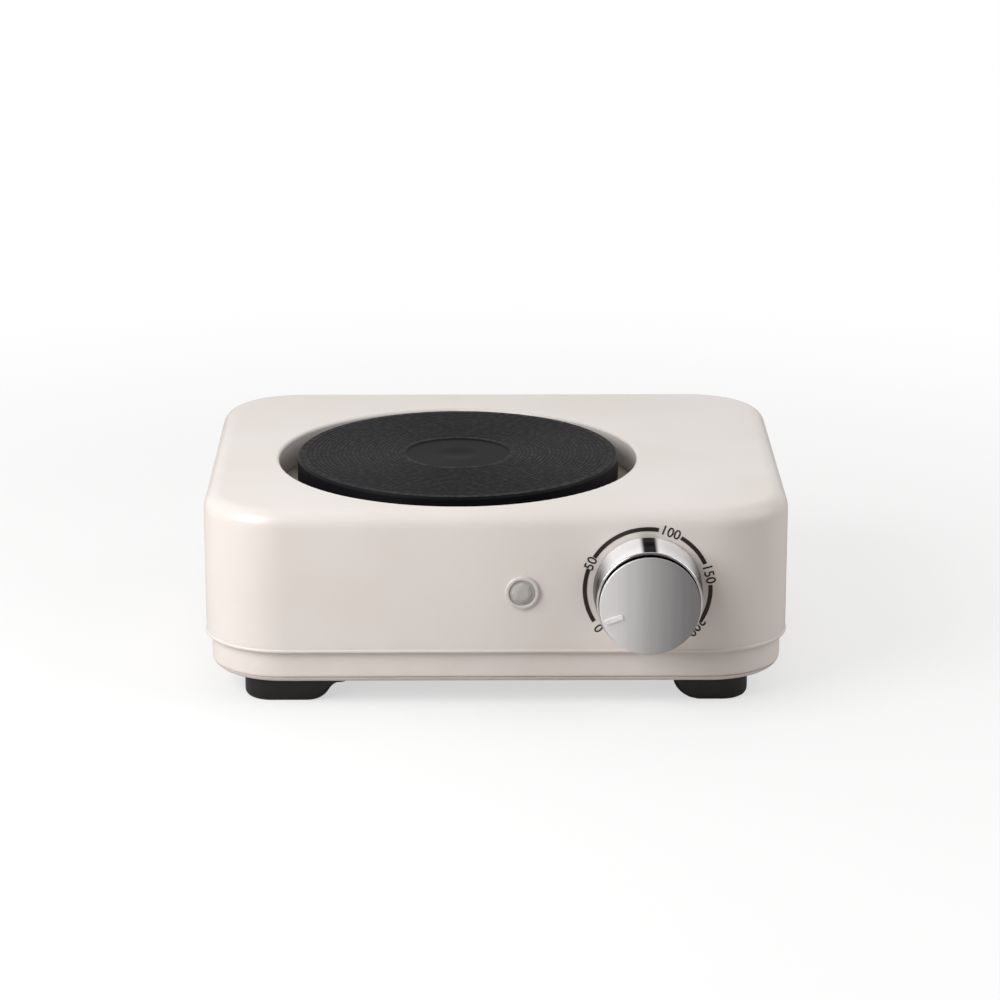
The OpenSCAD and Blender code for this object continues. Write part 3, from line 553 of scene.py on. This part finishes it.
def ceramic():
    """Unglazed porcelain with fine dark specks."""
    body = Finish("ceramic")
    grit = body.lumps(0.4 * mm, 3)
    specks = body.fade(body.lumps(0.9 * mm, 1), 0.68, 0.76)
    cloud = body.fade(body.lumps(7 * mm), 0.35, 0.65)
    tone = body.blend(cloud, srgb(236, 231, 220), srgb(226, 218, 204))
    return body.close(
        Base_Color=body.blend(specks * 0.5, tone, srgb(150, 140, 126)),
        Roughness=0.55 + grit * 0.2,
        Normal=body.bump(grit, 0.02 * mm),
    )


def clear(slot, tint, haze, index, through):
    """Clear plastic or glass with a haze that comes and goes; through is how clear it is."""
    glass = Finish(slot)
    cloud = glass.lumps(1.5 * mm)
    return glass.close(
        Base_Color=glass.blend(cloud, tint, srgb(226, 222, 218)),
        Roughness=haze + cloud * haze,
        Transmission_Weight=through,
        IOR=index,
    )


def resistor_body():
    """A tan resistor with four painted bands."""
    part = Finish("resistor_body")
    low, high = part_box("lamp_resistor")
    share = (part.axis("Y") - low.y) / (high.y - low.y)
    tone = part.blend(part.lumps(1 * mm), srgb(214, 190, 150), srgb(202, 176, 136))
    bands = [(0.40, srgb(110, 70, 40)), (0.47, srgb(30, 30, 30)), (0.54, srgb(200, 150, 40))]
    for middle, ink in bands:
        stripe = part.fade(abs(share - middle), 0.024, 0.016)
        tone = part.blend(stripe, tone, ink)
    return part.close(Base_Color=tone, Roughness=0.4 + part.lumps(0.5 * mm) * 0.1)


ceramic()
clear("lens_clear", srgb(206, 202, 198), 0.06, 1.49, 0.35)
clear("neon_glass", srgb(250, 236, 230), 0.03, 1.5, 1.0)
resistor_body()
print("ceramic and glass are ready")

# %% [markdown]
# ## Wire insulation
#
# Five wires and the lamp's pair run through the housing. Their sleeves are glossy coloured
# plastic, and the earth wire is green with a yellow stripe that winds round it. The stripe is a
# wave across the sleeve's place, sharpened into two clean tones.

# %% Wire insulation


def sleeve(slot, tone, stripe=None):
    """Coloured wire insulation, slightly waxy, with an optional second colour in stripes."""
    cover = Finish(slot)
    wax = cover.lumps(1.5 * mm, 3)
    colour = cover.blend(wax * 0.3, tone, srgb(120, 118, 116))
    if stripe:
        wave = cover.node("TexWave", None, {"Vector": cover.place, "Scale": 0.35 / (2 * mm)}, out=1)
        colour = cover.blend(cover.fade(wave, 0.55, 0.62), colour, stripe)
    return cover.close(
        Base_Color=colour,
        Roughness=0.38 + wax * 0.1,
        Normal=cover.bump(wax, 0.01 * mm),
    )


sleeve("wire_brown", srgb(92, 52, 32))
sleeve("wire_black", srgb(26, 26, 27))
sleeve("wire_blue", srgb(44, 84, 156))
sleeve("wire_grey", srgb(176, 174, 170))
sleeve("wire_earth", srgb(64, 132, 56), stripe=srgb(226, 198, 60))
worn = {material.name for node in nodes.values() for material in node.data.materials}
node_kinds = {m: {n.type for n in bpy.data.materials[m].node_tree.nodes} for m in worn}
plain = sorted(m for m in worn if "TEX_COORD" not in node_kinds[m])
print(len(worn), "finishes are worn by the nodes; still plain:", plain)

# %% [markdown]
# ## Outlines, lofts and turned pieces
#
# Most of what follows is a stack of loops with walls between them: a plate, a ring or a knob is
# turned on a lathe, and a rubber foot is a stack of rounded outlines. Spin and Screw modifiers
# could turn a profile too, but a loft written out as loops gives clean four-sided faces, keeps a
# pole at the axis and handles the feet as well. Real edges are never sharp, so an outline's
# corners each carry their own radius.

# %% Outlines, lofts and turned pieces


def rounded(corners, steps=4):
    """A closed outline from (across, up, radius) corners, with each corner rounded off."""
    outline = []
    for i, (across, up, radius) in enumerate(corners):
        here = Vector((across, up))
        if radius == 0:
            outline.append(here)
            continue
        back = (Vector(corners[i - 1][:2]) - here).normalized()
        on = (Vector(corners[(i + 1) % len(corners)][:2]) - here).normalized()
        half = back.angle(on) / 2
        middle = here + (back + on).normalized() * radius / math.sin(half)
        start = (here + back * radius / math.tan(half) - middle).normalized()
        end = (here + on * radius / math.tan(half) - middle).normalized()
        outline += [middle + start.slerp(end, k / steps) * radius for k in range(steps + 1)]
    return outline


def circle(radius, height, turns, flat=None):
    """One loop of a turned piece, or its pole; flat cuts the loop off at that height across."""
    if radius < 0.001 * mm:
        return [Vector((0, 0, height))]
    angles = [2 * math.pi * k / turns for k in range(turns)]
    loop = [Vector((radius * math.cos(a), radius * math.sin(a), height)) for a in angles]
    return [Vector((p.x, min(p.y, flat), p.z)) for p in loop] if flat else loop


def loft(name, loops, slot, body, where=Matrix(), crease=30):
    """Join loops into a closed skin, smooth it, place it, and set what it rides on and wears."""
    mesh = bmesh.new()
    rows = [[mesh.verts.new(point) for point in loop] for loop in loops]
    for this, after in zip(rows, rows[1:] + rows[:1]):
        for k in range(max(len(this), len(after))):
            n = k + 1
            down = [this[k % len(this)], after[k % len(after)]]
            back = [after[n % len(after)], this[n % len(this)]]
            face = list(dict.fromkeys(down + back))
            if len(face) > 2:
                mesh.faces.new(face)
    bmesh.ops.recalc_face_normals(mesh, faces=mesh.faces)
    return place_piece(name, mesh, slot, body, where, crease)


def place_piece(name, mesh, slot, body, where=Matrix(), crease=30):
    """Turn an edited mesh into a smooth piece in its place, with its finish and its body."""
    mesh.transform(where)
    data = bpy.data.meshes.new(name)
    mesh.to_mesh(data)
    mesh.free()
    data.shade_smooth()
    data.set_sharp_from_angle(angle=math.radians(crease))
    data.materials.append(bpy.data.materials[slot])
    piece = bpy.data.objects.new(name, data)
    bpy.context.scene.collection.objects.link(piece)
    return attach(piece, body)


def turned(name, outline, slot, body, where, turns=160):
    """A piece turned on a lathe from an outline of (radius, height) points."""
    return loft(name, [circle(p[0], p[1], turns) for p in outline], slot, body, where)


def facing_front(point):
    """Local x to the right, y up and z out of the front face, from a point on that face."""
    return Matrix.Translation(point) @ Matrix.Rotation(math.radians(90), 4, "X")


print("the outline helpers are ready")

# %% [markdown]
# ## The cast-iron plate
#
# The working face is turned with a fine spiral-like set of concentric grooves, so that a pan
# stands on many narrow crests. In the middle is a shallow recess with a soft step and a dimple.
# Grooves could be faked with bump, but at a low viewing angle their crests break the edge of the
# highlights and the far rim, which only geometry does. One height function of the radius gives
# the whole face; the underside keeps the bay for the heating coil.

# %% The cast-iron plate
groove_pitch = 1.6 * mm
groove_depth = 0.14 * mm
groove_first_r = 21.6 * mm
groove_last_r = groove_first_r + 22 * groove_pitch
recess_r = 19.4 * mm
recess_step = 0.7 * mm
recess_depth = 0.45 * mm
dip_r = 9 * mm
dip_depth = 0.5 * mm
bay_outer_r = 54 * mm
bay_inner_r = 22 * mm
bay_depth = 4 * mm
stud_bore_r = 3.05 * mm
stud_bore_depth = 5.5 * mm
cast_r = 0.5 * mm
face_rings = 230


def ease(share):
    """0 to 1 with a soft start and a soft end."""
    share = min(max(share, 0), 1)
    return share * share * (3 - 2 * share)


def face_drop(radius):
    """How far the plate's face lies below its highest level at a radius."""
    if radius < recess_r + recess_step:
        step = 1 - ease((radius - recess_r + recess_step) / (2 * recess_step))
        return recess_depth * step + dip_depth * (1 - ease(radius / dip_r))
    if groove_first_r < radius < groove_last_r:
        phase = 2 * math.pi * (radius - groove_first_r) / groove_pitch
        return groove_depth * (0.5 - 0.5 * math.cos(phase)) ** 1.5
    return 0


def plate_outline():
    """The plate's whole section, from the middle of its face round to the middle of its underside."""
    top = plate_high.z
    under = plate_low.z
    edge = plate_r - rim_bevel
    radii = [edge * k / face_rings for k in range(face_rings)]
    face = [Vector((r, top - face_drop(r))) for r in radii]
    corners = [
        (edge, top, 0),
        (plate_r, top - rim_bevel, 0),
        (plate_r, under, cast_r),
        (bay_outer_r, under, cast_r),
        (bay_outer_r, under + bay_depth, cast_r),
        (bay_inner_r, under + bay_depth, cast_r),
        (bay_inner_r, under, cast_r),
        (stud_bore_r, under, 0),
        (stud_bore_r, under + stud_bore_depth, 0),
        (0, under + stud_bore_depth, 0),
    ]
    return face + rounded(corners)


plate_place = Matrix.Translation((plate_mid.x, plate_mid.y, 0))
iron_plate = turned("cast_iron_plate", plate_outline(), "plate_iron", "base", plate_place, 240)
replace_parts(iron_plate, "hot_plate")
print("the plate has", len(iron_plate.data.polygons), "faces")

# %% [markdown]
# ## The knob
#
# The knob is three parts pressed together: a chrome skirt, a black collar and a brushed disc with
# a small raised pointer. The skirt is a thin cone with a web near its front and a hub whose bore
# has a flat side, so that it can't slip on the shaft. It is turned in one outline, and the bore's
# loops are simply cut off at the flat. The disc is a hair crowned, and the sheen that travels over
# it is painted into its colour.

# %% The knob
base_r = (skirt_high.x - skirt_low.x) / 2
skirt_back = knob_axis.y - skirt_high.y
rim_r = 18.8 * mm
knob_place = facing_front(knob_axis)


def knob_skirt():
    """The chrome cone with its bead, web, hub and flatted bore."""
    wall = 1.8 * mm
    web_back = rim_out - 2 * mm
    hub_r = 5.5 * mm
    hub_back = 6 * mm
    bore_r = 3.06 * mm
    bore_end = 14.2 * mm
    bore_flat = 2.26 * mm
    corners = [
        (0, rim_out, 0),
        (rim_r, rim_out, 0.55 * mm),
        (base_r, skirt_back, 0.35 * mm),
        (base_r - wall, skirt_back, 0.35 * mm),
        (rim_r - wall, web_back, 0.6 * mm),
        (hub_r, web_back, 0.5 * mm),
        (hub_r, hub_back, 0.3 * mm),
    ]
    outline = rounded(corners, 6)
    loops = [circle(p[0], p[1], 192) for p in outline]
    loops += [circle(bore_r, height, 192, bore_flat) for height in (hub_back, bore_end)]
    loops.append(circle(0, bore_end, 192))
    return loft("chrome_skirt", loops, "knob_chrome", "knob", knob_place)


def knob_cap():
    """The brushed disc, crowned by a sixth of a millimetre."""
    back = knob_axis.y - cap_high.y
    front = knob_axis.y - cap_low.y
    crown = 0.16 * mm
    arch = [Vector((cap_r * k / 12, front - crown * (k / 12) ** 2)) for k in range(12)]
    edge = rounded([(cap_r, front - crown, 0.3 * mm), (cap_r, back, 0.15 * mm), (0, back, 0)])
    outline = arch + edge
    return turned("brushed_cap", outline, "cap_alloy", "knob", knob_place, 192)


def knob_pointer():
    """A small bar that stands on the disc, with rounded ends and softened edges."""
    low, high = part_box("knob_pointer")
    middle = (low + high) / 2 - knob_axis
    turn = math.atan2(middle.z, middle.x)
    half_w = 0.9 * mm
    end_r = 0.5 * mm
    sunk = 0.3 * mm
    half_l = ((high.x - low.x) / 2 - half_w * abs(math.sin(turn))) / abs(math.cos(turn))
    root = knob_axis.y - high.y - sunk
    crest = knob_axis.y - low.y
    out = math.hypot(middle.x, middle.z)
    ends = ((half_l, -half_w), (half_l, half_w), (-half_l, half_w), (-half_l, -half_w))
    plan = rounded([(out + x, y, end_r) for x, y in ends])
    centre = Vector((out, 0))

    def level(height, inset):
        """The bar's outline at a height, drawn in by a small amount."""
        loop = []
        for point in plan:
            arm = point - centre
            shrunk = centre + arm * (1 - inset / half_w * abs(arm.y) / arm.length)
            loop.append(Vector((shrunk.x, shrunk.y, height)))
        return loop

    levels = [(root, 0), (crest - 0.25 * mm, 0), (crest - 0.08 * mm, 0.08 * mm), (crest, 0.28 * mm)]
    loops = [[Vector((out, 0, root))]]
    loops += [level(height, inset) for height, inset in levels]
    loops.append([Vector((out, 0, crest))])
    where = knob_place @ Matrix.Rotation(turn, 4, "Z")
    return loft("pointer_bar", loops, "pointer_chrome", "knob", where)


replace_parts(knob_skirt(), "knob_skirt")
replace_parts(knob_cap(), "knob_cap")
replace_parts(knob_pointer(), "knob_pointer")
print("the knob stands", round(rim_out / mm, 1), "mm out at its rim")

# %% [markdown]
# ## The indicator
#
# A grey plastic ring snaps over a clear lens. The lens is a barrel through the wall, hollow for
# the bulb behind it, with an eight-sided crown like a cut stone: the facets are what scatter the
# glow to every side. A round barrel that ends in flat facets is one loft whose loops change from
# circles to octagons.

# %% The indicator
bezel_low, bezel_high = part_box("indicator_bezel")
lens_low, lens_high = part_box("indicator_lens")
lamp_point = Vector(((bezel_low.x + bezel_high.x) / 2, bezel_high.y, (bezel_low.z + bezel_high.z) / 2))
bezel_r = (bezel_high.x - bezel_low.x) / 2
bezel_out = bezel_high.y - bezel_low.y
lens_r = (lens_high.x - lens_low.x) / 2
lens_out = lamp_point.y - lens_low.y
lens_in = lamp_point.y - lens_high.y
lamp_place = facing_front(lamp_point)
facet_turns = 64


def indicator_bezel():
    """The ring, with a rolled outer edge and a step down to the lens."""
    inner = 4.7 * mm
    corners = [
        (inner, 0, 0),
        (bezel_r, 0, 0),
        (bezel_r, bezel_out, 0.7 * mm),
        (inner, bezel_out, 0.35 * mm),
    ]
    return turned("indicator_ring", rounded(corners, 6), "bezel_grey", "base", lamp_place, 128)


def octagon(radius, height, turn):
    """A loop with eight flat sides whose corners reach out to the radius."""
    points = []
    for k in range(facet_turns):
        angle = 2 * math.pi * k / facet_turns
        within = (angle + turn) % (math.pi / 4) - math.pi / 8
        reach = radius * math.cos(math.pi / 8) / math.cos(within)
        points.append(Vector((reach * math.cos(angle), reach * math.sin(angle), height)))
    return points


def indicator_lens():
    """The clear lens: hollow barrel, low collar and cut crown."""
    bore_r = 3.2 * mm
    bore_end = -0.4 * mm
    barrel_r = 4.5 * mm
    collar_edge = 0.3 * mm
    loops = [
        [Vector((0, 0, bore_end))],
        circle(bore_r, bore_end, facet_turns),
        circle(bore_r, lens_in, facet_turns),
        circle(barrel_r, lens_in, facet_turns),
        circle(barrel_r, 0, facet_turns),
        circle(lens_r, 0, facet_turns),
        circle(lens_r, 0.7 * mm, facet_turns),
        circle(lens_r - collar_edge, 0.9 * mm, facet_turns),
        octagon(3.9 * mm, 1.0 * mm, 0),
        octagon(3.4 * mm, 1.6 * mm, 0),
        octagon(2.3 * mm, lens_out, math.pi / 8),
        [Vector((0, 0, lens_out))],
    ]
    return loft("faceted_lens", loops, "lens_clear", "base", lamp_place, crease=12)


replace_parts(indicator_bezel(), "indicator_bezel")
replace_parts(indicator_lens(), "indicator_lens")
print("the indicator ring is", round(2 * bezel_r / mm, 1), "mm across")

# %% [markdown]
# ## The rubber feet
#
# Each foot is a moulded block, upright at the outer end with large rounded corners. At the inner
# end, a left foot sweeps up in an S-curve to a thin toe under the tray, and a right foot ends in
# one quarter round. The block could be cut from two extrusions, but moulded rubber has no hard
# edges, so it is a stack of rounded outlines instead. The same loft carries on down the screw's
# bore, so the foot is one closed skin with a real hole and a slightly hollowed sole.

# %% The rubber feet
sole_round = 0.8 * mm
outer_round = 2.5 * mm
sole_l = 24.7 * mm
sweep_run = 6 * mm
sweep_h = 3.5 * mm
near_corner_r = 3 * mm
far_corner_r = 8 * mm
screw_from_end = 13.5 * mm
curve_steps = 8


def rounded_plan(inner, outer, half, inner_r, outer_r, steps=12):
    """A foot's outline seen from above, from its inner end to its outer end."""
    far_end = [(outer, -half, outer_r), (outer, half, outer_r)]
    near_end = [(inner, half, inner_r), (inner, -half, inner_r)]
    return rounded(far_end + near_end, steps)


def inner_curve(swept, reach, toe, top):
    """The foot's inner end from the sole up, as (how far in it starts, height) points."""
    if not swept:
        angles = [math.pi / 2 * step / curve_steps for step in range(curve_steps + 1)]
        return [(toe + top * (1 - math.sin(a)), top * (1 - math.cos(a))) for a in angles]
    sweep_r = (sweep_run**2 + sweep_h**2) / (2 * sweep_h)
    steepest = math.asin(sweep_run / sweep_r)
    angles = [steepest * step / curve_steps for step in range(curve_steps + 1)]
    sole = reach - sole_l
    hollow = sole - 2 * sweep_run
    curve = [(sole - sweep_r * math.sin(a), sweep_r * (1 - math.cos(a))) for a in angles]
    for a in reversed(angles[:-1]):
        curve.append((hollow + sweep_r * math.sin(a), 2 * sweep_h - sweep_r * (1 - math.cos(a))))
    return curve + [(toe, 2 * sweep_h), (toe, top)]


def rubber_foot(name):
    """One foot, built in the space of the working model's foot with the same name."""
    low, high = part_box(name)
    side = 1 if low.x > 0 else -1
    reach = max(abs(low.x), abs(high.x))
    toe = min(abs(low.x), abs(high.x))
    top = high.z
    half = (high.y - low.y) / 2
    screw_x = reach - screw_from_end
    curve = inner_curve(side < 0, reach, toe, top)

    def level(inner, z, height, inset=0.0):
        """The foot's outline at height z, drawn in by an inset and laid at another height."""
        drop = max(outer_round - z, 0)
        outer = reach - outer_round + math.sqrt(outer_round**2 - drop**2)
        drop = max(sole_round - z, 0)
        width = half - sole_round + math.sqrt(sole_round**2 - drop**2)
        corner_rs = (near_corner_r - inset, far_corner_r - inset)
        plan = rounded_plan(inner + inset, outer - inset, width - inset, *corner_rs)
        return [Vector((p.x, p.y, height)) for p in plan]

    def bore(radius, z):
        """A loop round the screw, its points in line with the sole's outline."""
        axis = Vector((screw_x, 0, z))
        ways = [p - axis for p in level(curve[0][0], 0, z)]
        return [axis + w.normalized() * radius for w in ways]

    hollow = 0.4 * mm
    head_r = 3.4 * mm
    head_end = 3.5 * mm
    shank_r = 1.7 * mm
    sole = curve[0][0]
    loops = [bore(head_r, hollow), level(sole, 0, hollow, 1.2 * mm), level(sole, 0, 0, 0.8 * mm)]
    loops += [level(inner, z, z) for inner, z in curve]
    loops += [bore(shank_r, top), bore(shank_r, head_end), bore(head_r, head_end)]
    flip = Matrix.Diagonal((side, 1, 1, 1))
    where = Matrix.Translation((0, (low.y + high.y) / 2, 0)) @ flip
    foot = loft("rubber_" + name, loops, "foot_rubber", "base", where, crease=40)
    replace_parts(foot, name)
    return foot


for foot_name in sorted(name for name in nodes if name.startswith("foot_") and name != "foot_screws"):
    made = rubber_foot(foot_name)
    print(made.name, "has", len(made.data.polygons), "faces")

# %% [markdown]
# ## The cord gland
#
# Behind, a rubber grommet lines the hole that the mains cord passes through. Its inner barb and
# outer flange trap the sheet between them, and shallow ribs help fingers to press it in. It is a
# turned piece whose axis points to the rear.

# %% The cord gland
gland_low, gland_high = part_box("cord_gland")
rear_wall_y = 91.4 * mm


def cord_gland():
    """The grommet: barb, groove for the wall, flange and a ribbed nose round the bore."""
    nose = gland_high.y - rear_wall_y
    barb = gland_low.y - rear_wall_y
    wall = -1.2 * mm
    bore = 3.6 * mm
    corners = [
        (bore, barb, 0.3 * mm),
        (7.4 * mm, barb, 0.3 * mm),
        (8 * mm, barb + 0.8 * mm, 0.2 * mm),
        (8 * mm, wall, 0.2 * mm),
        (6 * mm, wall, 0),
        (6 * mm, 0, 0),
        (9 * mm, 0, 0.2 * mm),
        (9 * mm, 2.5 * mm, 0.7 * mm),
        (6.3 * mm, 2.5 * mm, 0.5 * mm),
        (6.2 * mm, 3.6 * mm, 0.25 * mm),
        (5.7 * mm, 3.8 * mm, 0.25 * mm),
        (5.7 * mm, 4.6 * mm, 0.25 * mm),
        (6.0 * mm, 4.8 * mm, 0.25 * mm),
        (5.6 * mm, nose, 0.5 * mm),
        (bore, nose, 0.4 * mm),
    ]
    middle = (gland_low + gland_high) / 2
    to_rear = Matrix.Rotation(math.radians(-90), 4, "X")
    where = Matrix.Translation((middle.x, rear_wall_y, middle.z)) @ to_rear
    return turned("ribbed_gland", rounded(corners), "gland_rubber", "base", where, 96)


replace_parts(cord_gland(), "cord_gland")
print("the gland stands", round((gland_high.y - rear_wall_y) / mm, 1), "mm out of the rear wall")

# %% [markdown]
# ## Numbers round the dial
#
# The printed ring has three gaps between its two ends, and each of these five places holds a
# number for the plate's heat. The numbers lie along the ring, with their feet towards the knob. A
# number could be drawn stroke by stroke; Blender's own font is quicker, and turning the text into
# a mesh with a hair of thickness makes it a layer of ink like the ring.

# %% Numbers round the dial
dial_low, dial_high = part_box("dial_print")
line_w = 1.5 * mm
dial_r = dial_high.z - knob_axis.z - line_w / 2
ink_t = knob_axis.y - dial_low.y
digit_h = 3.5 * mm
dial_marks = {"0": 220, "50": 154.5, "100": 69.5, "150": 14.7, "200": -39}


def dial_number(digits, angle):
    """One number, standing in a gap of the ring or at one of its ends."""
    curve = bpy.data.curves.new("digits", "FONT")
    curve.body = digits
    curve.align_x = "CENTER"
    curve.align_y = "CENTER"
    curve.size = digit_h / 0.70
    curve.offset = 0.01 * digit_h
    curve.extrude = ink_t / 2
    curve.resolution_u = 6
    drawn = bpy.data.objects.new("digits", curve)
    bpy.context.scene.collection.objects.link(drawn)
    bpy.context.view_layer.update()
    mesh = bmesh.new()
    seen = drawn.evaluated_get(bpy.context.evaluated_depsgraph_get())
    mesh.from_mesh(seen.to_mesh())
    bpy.data.objects.remove(drawn)
    bmesh.ops.remove_doubles(mesh, verts=mesh.verts, dist=0.001 * mm)
    turn = math.radians(angle)
    spot = Matrix.Translation((dial_r * math.cos(turn), dial_r * math.sin(turn), ink_t / 2))
    where = knob_place @ spot @ Matrix.Rotation(turn - math.pi / 2, 4, "Z")
    return place_piece("dial_number_" + digits, mesh, "dial_ink", "base", where)


for digits, angle in dial_marks.items():
    number = dial_number(digits, angle)
    print(number.name, "has", len(number.data.polygons), "faces")

# %% [markdown]
# ## Rounder wires
#
# The working model's wires and coil are eight-sided tubes. Their meshes stay as they are, but a
# modifier may smooth them: welding joins the split corners, and one or two rounds of subdivision
# turn eight sides into a round sleeve.

# %% Rounder wires
tube_names = [name for name in nodes if name.endswith("_wire")] + ["lamp_wires", "heating_coil"]
for name in tube_names:
    weld = nodes[name].modifiers.new("weld", "WELD")
    weld.merge_threshold = 0.001 * mm
    smooth = nodes[name].modifiers.new("round", "SUBSURF")
    smooth.levels = 2
    smooth.render_levels = 2
print(len(tube_names), "tubes are rounded")
